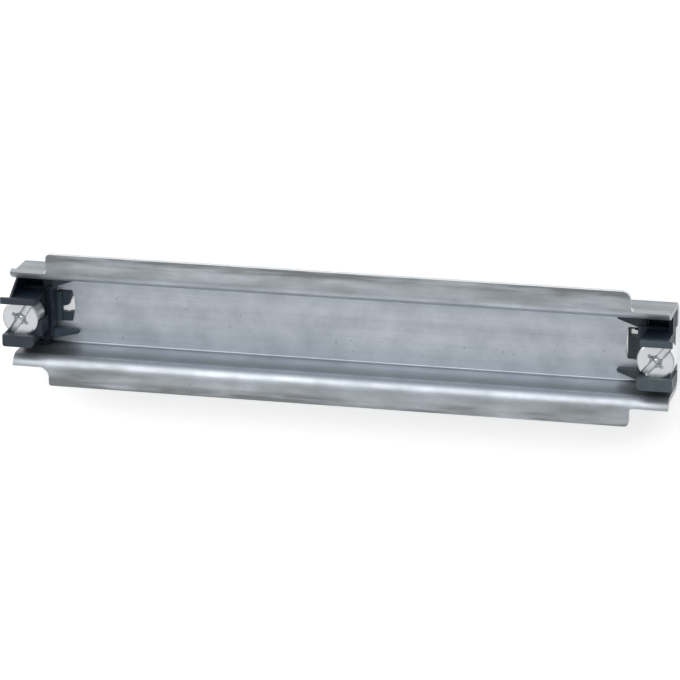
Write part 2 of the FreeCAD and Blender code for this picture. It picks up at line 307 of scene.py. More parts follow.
@dataclass(frozen=True)
class ShearedSteel:
    """Steel cut through by the shear and the punch. Sizes and places in millimetres."""

    light: str = "EDEFF0"
    dark: str = "C2C6C9"
    punched: str = "A3A8AC"
    roughness: float = 0.4
    mark: tuple[float, float, float] = (0.3, 0.3, 2.4)      # upright marks, drawn coarser than real to show
    tab: Fade = Fade(75.3, 76.0)                            # along the rail to its punched end tabs

    def build(self) -> bpy.types.Material:
        """Builds the shader.

        Returns:
            The material.
        """
        # Bare steel gives the sheet a brighter rim with upright marks, and the punch a duller one at the tabs
        material, tree = new_material("sheared_steel_edge")
        marks = add_node(tree, "ShaderNodeTexNoise", {
            "Vector": object_pattern(tree, self.mark), "Scale": 1.0, "Detail": 2.0})
        place = add_node(tree, "ShaderNodeSeparateXYZ", {0: object_pattern(tree, (1, 1, 1))})
        along = add_node(tree, "ShaderNodeMath", {0: place.outputs[0]}, operation="ABSOLUTE")
        tab = add_node(tree, "ShaderNodeMapRange", self.tab.of(along.outputs[0]))
        colour = linear(self.dark)
        for share, layer in ((marks.outputs[0], self.light), (tab.outputs[0], self.punched)):
            colour = add_node(tree, "ShaderNodeMix", {"Factor": share, 6: colour, 7: linear(layer)},
                              data_type="RGBA").outputs[2]
        shader = add_node(tree, "ShaderNodeBsdfPrincipled", {
            "Base Color": colour, "Metallic": 1.0, "Roughness": self.roughness})
        add_node(tree, "ShaderNodeOutputMaterial", {"Surface": shader.outputs[0]})
        return material


@dataclass(frozen=True)
class MouldedPolyamide:
    """Injection-moulded black polyamide. Sizes and places in millimetres."""

    name: str
    painted_front_sheen: str                                    # painted sheen on the collar's front
    inner: str                                      # painted sheen on the fins and the hook
    body: str = "212935"
    roughness: Fade = Fade(0.0, 1.0, 0.32, 0.48)
    gloss: float = 0.22
    grain: float = 0.12                             # grain of the mould, drawn coarser than real to show
    grain_depth: float = 0.02
    grain_relief: float = 0.25
    flow: float = 3.0                               # faint clouds where the melt flowed together
    tint: Fade = Fade(0.3, 0.7, 0.75, 1.0)
    front: Fade = Fade(13.0, 16.5)                  # painted sheen rising up to the collar's front
    inward: Fade = Fade(75.9, 76.9, 0.9, 0.0)       # painted sheen along the rail, from the hook, fading out under the collar

    def build(self) -> bpy.types.Material:
        """Builds the shader.

        Returns:
            The material.
        """
        # The mould's fine grain gives a satin skin; painted sheen makes the collar's front, fins and hook
        # blue-grey, near black in between
        material, tree = new_material(self.name)
        grain, flow = (
            add_node(tree, "ShaderNodeTexNoise", {
                "Vector": object_pattern(tree, (size,) * 3), "Scale": 1.0, "Detail": detail}).outputs[0]
            for size, detail in ((self.grain, 2.0), (self.flow, 1.0)))
        place = add_node(tree, "ShaderNodeSeparateXYZ", {0: object_pattern(tree, (1, 1, 1))})
        along = add_node(tree, "ShaderNodeMath", {0: place.outputs[0]}, operation="ABSOLUTE")
        front, inward, tint, rough = (
            add_node(tree, "ShaderNodeMapRange", fade.of(source)).outputs[0]
            for fade, source in ((self.front, place.outputs[2]), (self.inward, along.outputs[0]),
                                 (self.tint, flow), (self.roughness, flow)))
        colour = linear(self.body)
        # Painted sheen: lighter tones on the collar's front, and on the fins and hook out from under the
        # collar
        for share, layer in ((front, self.painted_front_sheen), (inward, self.inner)):
            factor = add_node(tree, "ShaderNodeMath", {0: share, 1: tint}, operation="MULTIPLY")
            colour = add_node(tree, "ShaderNodeMix", {"Factor": factor.outputs[0], 6: colour,
                                                      7: linear(layer)}, data_type="RGBA").outputs[2]
        bump = add_node(tree, "ShaderNodeBump", {
            "Strength": self.grain_relief, "Distance": self.grain_depth * MM, "Height": grain})
        shader = add_node(tree, "ShaderNodeBsdfPrincipled", {
            "Base Color": colour, "Roughness": rough, "Specular IOR Level": self.gloss,
            "Normal": bump.outputs[0]})
        add_node(tree, "ShaderNodeOutputMaterial", {"Surface": shader.outputs[0]})
        return material


@dataclass(frozen=True)
class BrightZincPlate:
    """Blue-passivated zinc, plated on pressed steel. Sizes in millimetres."""

    name: str = "bright_zinc_plate"
    light: str = "F5F7F9"
    haze: str = "E4EAF0"
    roughness: Fade = Fade(0.0, 1.0, 0.22, 0.34)
    metallic: float = 0.85                          # the passive film scatters the rest
    cloud: float = 2.0

    def build(self) -> bpy.types.Material:
        """Builds the shader.

        Returns:
            The material.
        """
        # The bath leaves a bright white metal with a faint haze that softens what it mirrors
        material, tree = new_material(self.name)
        haze = add_node(tree, "ShaderNodeTexNoise", {
            "Vector": object_pattern(tree, (self.cloud,) * 3), "Scale": 1.0, "Detail": 3.0})
        colour = add_node(tree, "ShaderNodeMix", {"Factor": haze.outputs[0], 6: linear(self.light),
                                                  7: linear(self.haze)}, data_type="RGBA")
        rough = add_node(tree, "ShaderNodeMapRange", self.roughness.of(haze.outputs[0]))
        shader = add_node(tree, "ShaderNodeBsdfPrincipled", {
            "Base Color": colour.outputs[2], "Metallic": self.metallic, "Roughness": rough.outputs[0]})
        add_node(tree, "ShaderNodeOutputMaterial", {"Surface": shader.outputs[0]})
        return material


def arc(centre: tuple[float, float], radius: float, start: float, turn: float,
        steps: int) -> list[tuple[float, float]]:
    """Gives the points of an arc, both ends too, from its first angle and its signed turn in degrees."""
    angles = [math.radians(start + turn * i / steps) for i in range(steps + 1)]
    return [(centre[0] + radius * math.cos(a), centre[1] + radius * math.sin(a)) for a in angles]


def as_object(name: str, data: bpy.types.ID) -> bpy.types.Object:
    """Links a mesh, curve, camera or lamp to the scene as a new object at the origin.

    Args:
        name: The object's name.
        data: What it shows.

    Returns:
        The object.
    """
    made = bpy.data.objects.new(name, data)
    bpy.context.scene.collection.objects.link(made)
    return made


def from_shape(name: str, shape: bmesh.types.BMesh) -> bpy.types.Object:
    """Turns a shape into an object and frees the shape.

    Args:
        name: The object's name.
        shape: The shape, which is used up.

    Returns:
        The object.
    """
    mesh = bpy.data.meshes.new(name)
    shape.to_mesh(mesh)
    shape.free()
    return as_object(name, mesh)


def bake_modifiers(piece: bpy.types.Object) -> None:
    """Turns a piece and its modifiers into a plain mesh.

    Args:
        piece: The object, whose modifiers are removed.
    """
    graph = bpy.context.evaluated_depsgraph_get()
    mesh = bpy.data.meshes.new_from_object(piece.evaluated_get(graph))
    piece.modifiers.clear()
    piece.data = mesh


def prism(name: str, outline: list[tuple[float, float]], low: float, high: float) -> bpy.types.Object:
    """Makes an upright prism.

    Args:
        name: The object's name.
        outline: Closed plan outline in millimetres, either way round.
        low: Lower height in millimetres.
        high: Upper height in millimetres.

    Returns:
        The prism, with its faces outwards.
    """
    shape = bmesh.new()
    face = shape.faces.new([shape.verts.new((x * MM, y * MM, low * MM)) for x, y in outline])
    grown = bmesh.ops.extrude_face_region(shape, geom=[face])
    moved = [item for item in grown["geom"] if isinstance(item, bmesh.types.BMVert)]
    bmesh.ops.translate(shape, verts=moved, vec=(0, 0, (high - low) * MM))
    bmesh.ops.recalc_face_normals(shape, faces=shape.faces)
    return from_shape(name, shape)


def block(name: str, x: tuple[float, float], y: tuple[float, float],
          z: tuple[float, float]) -> bpy.types.Object:
    """Makes an axis-parallel block from its limits in millimetres."""
    return prism(name, [(x[0], y[0]), (x[1], y[0]), (x[1], y[1]), (x[0], y[1])], z[0], z[1])


def lay(piece: bpy.types.Object, along: Along) -> bpy.types.Object:
    """Turns an upright prism so that it runs along another axis.

    Args:
        piece: A prism along Z, which is changed.
        along: The axis.

    Returns:
        The same piece.
    """
    turn = Matrix(along.value).to_4x4()
    piece.data.transform(turn)
    if turn.determinant() < 0:
        piece.data.flip_normals()
    return piece


def turned(name: str, outline: list[tuple[float, float]], facets: int) -> bpy.types.Object:
    """Turns a closed half section about Z.

    Args:
        name: The object's name.
        outline: Radius and height pairs in millimetres; the first and last lie on the axis.
        facets: Number of facets round the axis.

    Returns:
        The turned solid.
    """
    shape = bmesh.new()
    rings = []
    for radius, height in outline:
        if radius == 0:
            rings.append([shape.verts.new((0, 0, height * MM))])
            continue
        angles = [2 * math.pi * i / facets for i in range(facets)]
        rings.append([shape.verts.new((radius * math.cos(a) * MM, radius * math.sin(a) * MM, height * MM))
                      for a in angles])
    for low, high in zip(rings, rings[1:]):
        for i in range(facets):
            j = (i + 1) % facets
            corners = [low[i % len(low)], low[j % len(low)], high[j % len(high)], high[i % len(high)]]
            shape.faces.new(list(dict.fromkeys(corners)))
    bmesh.ops.recalc_face_normals(shape, faces=shape.faces)
    return from_shape(name, shape)


def combine(base: bpy.types.Object, tools: list[bpy.types.Object], join: Join) -> bpy.types.Object:
    """Adds tools to a base or cuts them from it, and deletes the tools.

    Args:
        base: The object that is changed.
        tools: The objects that are used up.
        join: What they do to the base.

    Returns:
        The base, with a plain mesh.
    """
    for tool in tools:
        step = base.modifiers.new("combine", "BOOLEAN")
        step.operation = join.value
        step.solver = "EXACT"
        step.object = tool
    bake_modifiers(base)
    for tool in tools:
        bpy.data.objects.remove(tool)
    return base


def merge_flats(piece: bpy.types.Object) -> None:
    """Joins what cutting split: points that coincide and faces that lie in one plane.

    Args:
        piece: The object to clean.
    """
    same_place_mm = 0.002
    same_plane_degrees = 0.5
    shape = bmesh.new()
    shape.from_mesh(piece.data)
    bmesh.ops.remove_doubles(shape, verts=shape.verts, dist=same_place_mm * MM)
    bmesh.ops.dissolve_limit(shape, angle_limit=math.radians(same_plane_degrees), verts=shape.verts,
                             edges=shape.edges)
    shape.to_mesh(piece.data)
    shape.free()


def round_edges(piece: bpy.types.Object, width_mm: float, sharp_degrees: float = 35.0,
                finish: int = -1) -> None:
    """Rounds the sharp edges of a piece, shades it smooth and bakes its modifiers.

    Args:
        piece: The object to finish.
        width_mm: Width of the rounding.
        sharp_degrees: Smallest angle between faces that is rounded.
        finish: Index of the rounding's material, or -1 for that of its neighbours.
    """
    bevel = piece.modifiers.new("rounding", "BEVEL")
    bevel.width = width_mm * MM
    bevel.segments = 2
    bevel.limit_method = "ANGLE"
    bevel.angle_limit = math.radians(sharp_degrees)
    bevel.material = finish
    normals = piece.modifiers.new("normals", "WEIGHTED_NORMAL")
    normals.keep_sharp = True
    for face in piece.data.polygons:
        face.use_smooth = True
    bake_modifiers(piece)


def seat(piece: bpy.types.Object, material: bpy.types.Material, slot: str, node: str) -> None:
    """Gives a finished piece its material and body, and hides the CAD node that it stands for.

    Args:
        piece: The finished object.
        material: Its finish.
        slot: The record's material slot; not used.
        node: The CAD node that it replaces.
    """
    if not piece.data.materials:
        piece.data.materials.append(material)
    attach(piece, BODY)
    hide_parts(node)
    low, high = (Vector(corner) for corner in (piece.bound_box[0], piece.bound_box[6]))
    LOG.info("%s: %d faces, %.1f x %.1f x %.1f mm", piece.name, len(piece.data.polygons),
             *((high - low) / MM))


@dataclass
class HatRail:
    """Roll-formed hat rail: a flat blank with punched ends, folded along its length. Millimetres."""

    length: float = 169.5
    width: float = 35.0
    height: float = 15.0
    sheet: float = 1.5
    channel_half: float = 10.0
    web_bend: float = 0.6
    flange_bend: float = 1.9
    notch_length: float = 9.65
    notch_half: tuple[float, float] = (12.2, 12.75)     # upper and lower, from the rail's middle
    slot_length: float = 13.0
    slot_half: float = 4.15
    slot_bulge: float = 0.65
    mouth_half: float = 5.2
    mouth_length: float = 1.2
    edge_round: float = 0.18
    edge_degrees: float = 50.0                          # angle from which an edge counts as sheared
    bend_steps: int = 10
    corner_steps: int = 7
    corners: dict[tuple[End, Side], tuple[float, float]] = field(default_factory=lambda: {
        (End.LEFT, Side.UPPER): (1.0, 0.9), (End.LEFT, Side.LOWER): (0.65, 2.5),
        (End.RIGHT, Side.UPPER): (2.1, 1.3), (End.RIGHT, Side.LOWER): (1.3, 0.7)})

    @property
    def lip(self) -> float:
        """Radius of the front surface where a wall turns into a flange."""
        return self.flange_bend + self.sheet

    @property
    def web_half(self) -> float:
        """Middle of the rail to where the web starts to bend, on the front surface."""
        return self.channel_half - self.web_bend

    @property
    def wall(self) -> float:
        """Straight height of a side wall on the front surface."""
        return self.height - self.sheet - self.web_bend - self.lip

    @property
    def lip_start(self) -> float:
        """Middle of the blank to where a wall starts to turn into a flange."""
        return self.web_half + QUARTER * self.web_bend + self.wall

    @property
    def developed_half(self) -> float:
        """Half width of the blank, measured along the front surface."""
        return self.lip_start + QUARTER * self.lip + self.width / 2 - self.channel_half - self.lip

    def section(self) -> list[tuple[float, float]]:
        """Gives the front surface's section as Y and Z pairs, from the lower flange to the upper.

        Returns:
            The section's points in millimetres.
        """
        web = arc((self.web_half, self.sheet + self.web_bend), self.web_bend, -90, 90, self.bend_steps)
        lip = arc((self.channel_half + self.lip, self.height - self.lip), self.lip, 180, -90,
                  self.bend_steps)
        half = web + lip + [(self.width / 2, self.height)]
        return [(-y, z) for y, z in reversed(half)] + half

    def folded_reach(self, plan_y: float) -> float:
        """Gives the distance along the front surface at which the upper bend reaches a plan width.

        Args:
            plan_y: Distance from the rail's middle, seen from the front.

        Returns:
            The distance from the middle of the blank.
        """
        centre = self.channel_half + self.lip
        if plan_y >= centre:
            return self.developed_half - (self.width / 2 - plan_y)
        back = math.asin((centre - plan_y) / self.lip) * self.lip
        return self.developed_half - (self.width / 2 - centre) - back

    def end_outline(self, end: End) -> list[tuple[float, float]]:
        """Draws the blank's outline at one end, from the upper flange's edge to the lower's.

        Args:
            end: Which end.

        Returns:
            Points with X along the rail and Y along the developed width, for the right end;
            the left end has X mirrored.
        """
        steps = self.corner_steps
        edge = self.developed_half
        tip = self.length / 2
        flange_end = tip - self.notch_length
        mouth = tip - self.mouth_length
        bow = (self.slot_half ** 2 + self.slot_bulge ** 2) / (2 * self.slot_bulge)
        spread = math.degrees(math.asin(self.slot_half / bow))
        cut, low_cut = (self.folded_reach(half) for half in self.notch_half)
        outer, inner = self.corners[end, Side.UPPER]
        low_outer, low_inner = self.corners[end, Side.LOWER]
        points = [
            *arc((flange_end - outer, edge - outer), outer, 90, -90, steps),
            *arc((flange_end + inner, cut + inner), inner, 180, 90, steps),
            (tip, cut), (tip, self.mouth_half), (mouth, self.slot_half),
            *arc((tip - self.slot_length + bow, 0), bow, 180 - spread, 2 * spread, steps),
            (mouth, -self.slot_half), (tip, -self.mouth_half), (tip, -low_cut),
            *arc((flange_end + low_inner, -low_cut - low_inner), low_inner, 90, 90, steps),
            *arc((flange_end - low_outer, -edge + low_outer), low_outer, 0, -90, steps)]
        return [(x * end.value, y) for x, y in points]

    def blank(self) -> bpy.types.Object:
        """Cuts the flat blank and scores it where it will bend.

        Returns:
            The flat piece, with Y as the developed width.
        """
        outline = self.end_outline(End.RIGHT) + self.end_outline(End.LEFT)[::-1]
        shape = bmesh.new()
        shape.faces.new([shape.verts.new((x * MM, y * MM, 0)) for x, y in outline])
        scores = [start + QUARTER * radius * i / self.bend_steps
                  for start, radius in ((self.web_half, self.web_bend), (self.lip_start, self.lip))
                  for i in range(self.bend_steps + 1)]
        for score in scores:
            for sign in (-1, 1):
                bmesh.ops.bisect_plane(shape, geom=shape.verts[:] + shape.edges[:] + shape.faces[:],
                                       plane_co=(0, sign * score * MM, 0), plane_no=(0, 1, 0))
        bmesh.ops.recalc_face_normals(shape, faces=shape.faces)
        if shape.faces[:][0].normal.z < 0:
            bmesh.ops.reverse_faces(shape, faces=shape.faces[:])
        return from_shape("rail_dressed", shape)

    def section_curve(self) -> bpy.types.Object:
        """Makes the section as a curve for the folding tree to follow.

        Returns:
            The curve object.
        """
        curve = bpy.data.curves.new("hat_section", "CURVE")
        curve.dimensions = "3D"
        line = self.section()
        spline = curve.splines.new("POLY")
        spline.points.add(len(line) - 1)
        for point, (y, z) in zip(spline.points, line):
            point.co = (0, y * MM, z * MM, 1)
        return as_object("hat_section", curve)

    def folding_tree(self) -> bpy.types.NodeTree:
        """Builds the tree that lays each point of the blank at its distance along the section.

        Returns:
            The tree, with the section and the finish as its inputs.
        """
        tree = bpy.data.node_groups.new("roll_forming", "GeometryNodeTree")
        face = tree.interface
        face.new_socket("Geometry", in_out="INPUT", socket_type="NodeSocketGeometry")
        face.new_socket("Section", in_out="INPUT", socket_type="NodeSocketObject")
        face.new_socket("Finish", in_out="INPUT", socket_type="NodeSocketMaterial")
        face.new_socket("Geometry", in_out="OUTPUT", socket_type="NodeSocketGeometry")
        given = add_node(tree, "NodeGroupInput")
        section = add_node(tree, "GeometryNodeObjectInfo", {"Object": given.outputs["Section"]})
        place = add_node(tree, "GeometryNodeInputPosition")
        split = add_node(tree, "ShaderNodeSeparateXYZ", {0: place.outputs[0]})
        size = add_node(tree, "GeometryNodeCurveLength", {0: section.outputs["Geometry"]})
        middle = add_node(tree, "ShaderNodeMath", {0: size.outputs[0], 1: 0.5}, operation="MULTIPLY")
        along = add_node(tree, "ShaderNodeMath", {0: split.outputs[1], 1: middle.outputs[0]}, operation="ADD")
        taken = add_node(tree, "GeometryNodeSampleCurve", {"Curves": section.outputs["Geometry"],
                                                           "Length": along.outputs[0]},
                         mode="LENGTH", use_all_curves=True)
        spot = add_node(tree, "ShaderNodeSeparateXYZ", {0: taken.outputs["Position"]})
        folded = add_node(tree, "ShaderNodeCombineXYZ", {0: split.outputs[0], 1: spot.outputs[1],
                                                         2: spot.outputs[2]})
        moved = add_node(tree, "GeometryNodeSetPosition", {"Geometry": given.outputs["Geometry"],
                                                           "Position": folded.outputs[0]})
        real = add_node(tree, "GeometryNodeRealizeInstances", {0: moved.outputs[0]})
        dressed = add_node(tree, "GeometryNodeSetMaterial", {"Geometry": real.outputs[0],
                                                             "Material": given.outputs["Finish"]})
        add_node(tree, "NodeGroupOutput", {0: dressed.outputs[0]})
        return tree

    def build(self, strip: bpy.types.Material, edge: bpy.types.Material) -> bpy.types.Object:
        """Folds the blank, gives it its sheet thickness and rounds its sheared edges.

        Args:
            strip: Finish of the coated faces.
            edge: Finish of the cut edges.

        Returns:
            The finished rail.
        """
        rail = self.blank()
        section = self.section_curve()
        fold = rail.modifiers.new("fold", "NODES")
        fold.node_group = self.folding_tree()
        sockets = {item.name: item.identifier for item in fold.node_group.interface.items_tree
                   if item.in_out == "INPUT"}
        fold[sockets["Section"]] = section
        fold[sockets["Finish"]] = strip
        bake_modifiers(rail)
        bpy.data.objects.remove(section)
        sheared = len(rail.data.materials)
        rail.data.materials.append(edge)
        thick = rail.modifiers.new("sheet", "SOLIDIFY")
        thick.thickness = self.sheet * MM
        thick.offset = -1.0
        thick.use_even_offset = True
        thick.material_offset_rim = sheared
        round_edges(rail, self.edge_round, self.edge_degrees, sheared)
        return rail


@dataclass
class HolderShape:
    """What differs between the two holders. Distances inward are from the screw's axis. Millimetres."""

    end: End
    axis_in: float                                          # screw's axis, from the rail's end
    inset: float                                            # base's outer face, from the rail's end
    drive_degrees: float
    upper_lip: tuple[float, float]                          # past the rail's end, and inward
    lower_lip: tuple[float, float]
    fins: dict[Side, tuple[float, float, float, float]]     # inner face root, tip; outer face root, tip
    toes: list[list[tuple[float, float]]]                   # from the slot's closed end, hook side left out


@dataclass
class ScrewHolder:
    """Moulded holder that sits in one end of the channel and keeps a screw captive. Millimetres."""

    shape: HolderShape
    rail: HatRail
    fit: float = 0.08
    wing_reach: float = 4.4
    wing_top: float = 5.5
    block_reach: float = 5.95
    block_top: float = 6.3
    block_upper: float = 6.2
    pocket_floor: float = 3.0
    wall: float = 1.1
    gusset_wall: float = 0.6
    merge: float = 0.5                                      # how deep one feature reaches into the next
    lower_corner: float = 1.1
    corner_belly: float = 0.3                               # share of the corner at which its middle lies
    collar_top: float = 17.1
    lip_upper: float = 4.25
    lip_lower: float = 4.0
    shelf: float = 1.65
    shelf_step: float = 0.35
    shelf_height: float = 0.8
    cradle: float = 3.05
    cradle_round: tuple[float, float] = (0.6, 1.3)
    horn_tip: float = 2.1
    cheek: tuple[float, float, float] = (5.5, -0.5, 14.6)   # reach from the axis, upper face, top
    seat: float = 9.02
    head_front: float = 14.9
    head_room: float = 4.88
    bore: float = 2.53
    end_wall_curve: tuple[tuple[float, float], ...] = ((9.85, 8.2), (7.6, 12.5), (5.5, 16.3))
    fin_reach: float = 11.75
    fin_tip_top: float = 2.7
    fin_tip_cut: float = 0.25
    hook_reach: float = 1.5
    hook_top: float = 2.8
    hook_low: float = 1.2
    hook_half: float = 3.9
    hook_round: float = 0.9
    toe_low: float = 0.1
    toe_top: float = 1.8
    window: tuple[float, float, float] = (1.3, 2.1, 3.85)   # from the slot's closed end, and its two sides
    edge_round: float = 0.16
    round_steps: int = 6
    sweep_steps: int = 8
    bore_facets: int = 64

    @property
    def half(self) -> float:
        """Half width of the moulding in the channel."""
        return self.rail.channel_half - self.fit

    @property
    def floor(self) -> float:
        """Height of the moulding's underside on the web."""
        return self.rail.sheet + self.fit

    @property
    def lower_face(self) -> float:
        """Middle of the rail to the collar's lower face."""
        return self.lip_lower + self.cradle

    def base(self) -> bpy.types.Object:
        """Makes the base in the channel, with its lower edges cut round and two pockets.

        Returns:
            The base.
        """
        low, cut, half = self.floor, self.lower_corner, self.half
        belly = cut * self.corner_belly
        far = self.shape.axis_in + self.wing_reach
        start = self.shape.inset
        section = [(-half, low + cut), (-half + belly, low + belly), (-half + cut, low),
                   (half - cut, low), (half - belly, low + belly), (half, low + cut),
                   (half, self.wing_top), (-half, self.wing_top)]
        body = lay(prism(f"screw_holder_{self.shape.end.name.lower()}_dressed", section, start, far), Along.X)
        sides = ((self.block_upper, half - self.wall), (self.wall - half, -self.lower_face))
        pockets = [block("pocket", (self.wall, far - self.wall), side,
                         (self.pocket_floor, self.wing_top + PAST)) for side in sides]
        combine(body, pockets, Join.CUT)
        middle = block("middle", (start, self.shape.axis_in + self.block_reach),
                       (-self.lower_face, self.block_upper), (low, self.block_top))
        return combine(body, [middle], Join.ADD)

    def fin(self, side: Side) -> bpy.types.Object:
        """Makes one fin on the web, lower and thinner towards its tip.

        Args:
            side: The side of the rail that it stands on.

        Returns:
            The fin.
        """
        root_in, tip_in, root_out, tip_out = (side.value * y for y in self.shape.fins[side])
        root = self.shape.axis_in + self.wing_reach - self.merge
        tip = self.shape.axis_in + self.fin_reach
        shoulder = tip - self.fin_tip_cut
        cut = self.fin_tip_cut * side.value
        plan = [(root, root_in), (shoulder, tip_in), (tip, tip_in + cut), (tip, tip_out - cut),
                (shoulder, tip_out), (root, root_out)]
        fin = prism("fin", plan, self.floor, self.block_top)
        above, beyond = self.block_top + PAST, tip + PAST
        fall = [(root, above), (root, self.block_top), (tip, self.fin_tip_top), (beyond, self.fin_tip_top),
                (beyond, above)]
        slope = lay(prism("slope", fall, -self.half, self.half), Along.Y)
        return combine(fin, [slope], Join.CUT)

    def end_wall(self) -> bpy.types.Object:
        """Makes the wall at the rail's end, which on the left sweeps up to the upper lip.

        Returns:
            The wall.
        """
        foot, knee, tip = (Vector(point) for point in self.end_wall_curve)
        if self.shape.end is End.RIGHT:
            return block("end_wall", (0, self.wall), (self.lip_upper + self.merge, foot.x),
                         (self.wing_top - self.merge, foot.y))
        pull = 2 * knee - (foot + tip) / 2
        curve = [foot * (1 - t) ** 2 + pull * 2 * t * (1 - t) + tip * t ** 2
                 for t in (i / self.sweep_steps for i in range(self.sweep_steps + 1))]
        inner, low = self.lip_upper + self.merge / 2, self.wing_top - self.merge
        outline = [tuple(point) for point in curve] + [(inner, tip.y), (inner, low), (foot.x, low)]
        return lay(prism("end_wall", outline, 0, self.gusset_wall), Along.X)

    def lower_block(self) -> bpy.types.Object:
        """Makes the lower lip's block, rounded at its two outer corners.

        Returns:
            The block.
        """
        reach_out, reach_in = self.shape.lower_lip
        inward = self.shape.axis_in + reach_in
        outer, inner = self.cradle_round
        outline = [
            (-reach_out, -self.lip_lower),
            *arc((outer - reach_out, outer - self.lower_face), outer, 180, 90, self.round_steps),
            *arc((inward - inner, inner - self.lower_face), inner, -90, 90, self.round_steps),
            (inward, -self.lip_lower)]
        return prism("cradle", outline, self.seat - self.merge, self.collar_top)

    def collar(self) -> list[bpy.types.Object]:
        """Makes the pieces that stand round the screw head.

        Returns:
            The pieces, which overlap each other and the base.
        """
        step = self.lip_upper + self.shelf - self.shelf_step
        reach_out, reach_in = self.shape.upper_lip
        inward = self.shape.axis_in + reach_in
        edge = -self.shape.lower_lip[0]
        buried = -self.lip_lower - self.merge
        horn = [(edge, buried), (edge + self.merge, -self.lip_lower), (0, -self.horn_tip),
                (self.merge, -self.horn_tip), (self.merge, buried)]
        pieces = [
            block("core", (self.shape.inset, inward), (-self.lower_face, step),
                  (self.block_top - self.merge, self.seat)),
            block("wall", (0, inward), (self.lip_upper, step),
                  (self.seat - self.merge, self.collar_top - self.merge)),
            block("shelf", (-reach_out, inward), (self.lip_upper, self.lip_upper + self.shelf),
                  (self.collar_top - self.shelf_height, self.collar_top)),
            self.lower_block(),
            prism("horn", horn, self.seat - self.merge, self.head_front),
        ]
        if self.shape.end is End.LEFT:
            reach, upper, top = self.cheek
            axis = self.shape.axis_in
            pieces.append(block("cheek", (axis, axis + reach), (buried, upper),
                                (self.seat - self.merge, top)))
        return pieces

    def catch(self) -> bpy.types.Object:
        """Makes the hook at the mouth of the web slot, with its flat toes inside the slot.

        Returns:
            The hook and its toes as one piece.
        """
        start = self.shape.axis_in + self.block_reach
        face = start + self.hook_reach
        radius = self.hook_round
        section = [(start - self.merge, self.hook_low), (face, self.hook_low),
                   *arc((face - radius, self.hook_top - radius), radius, 0, 90, self.round_steps),
                   (start - self.merge, self.hook_top)]
        hook = lay(prism("hook", section, -self.hook_half, self.hook_half), Along.Y)
        root = face - radius - self.merge
        toes = []
        for corners in self.shape.toes:
            outline = [(self.rail.slot_length - back, y) for back, y in corners]
            toes.append(prism("toe", [(root, outline[0][1])] + outline + [(root, outline[-1][1])],
                              self.toe_low, self.toe_top))
        combine(hook, toes, Join.ADD)
        if self.shape.end is End.RIGHT:
            back, near, far = self.window
            opening = block("window", (start, self.rail.slot_length - back), (near, far),
                            (0, self.hook_top + PAST))
            combine(hook, [opening], Join.CUT)
        return hook

    def build(self) -> bpy.types.Object:
        """Unites the moulding's features, clears the screw's room and rounds the edges.

        Returns:
            The finished holder.
        """
        body = self.base()
        combine(body, [self.end_wall(), self.fin(Side.UPPER), self.fin(Side.LOWER), self.catch()]
                + self.collar(), Join.ADD)
        tools = []
        for radius, low, high in ((self.head_room, self.seat, self.head_front + self.fit),
                                  (self.bore, -PAST, self.collar_top + PAST)):
            tool = turned("clearance", [(0, low), (radius, low), (radius, high), (0, high)], self.bore_facets)
            tool.data.transform(Matrix.Translation((self.shape.axis_in * MM, 0, 0)))
            tools.append(tool)
        combine(body, tools, Join.CUT)
        body.data.transform(Matrix.Translation((-self.rail.length / 2 * MM, 0, 0)))
        if self.shape.end is End.RIGHT:
            body.data.transform(Matrix.Scale(-1, 4, (1, 0, 0)))
            body.data.flip_normals()
        merge_flats(body)
        round_edges(body, self.edge_round)
        return body


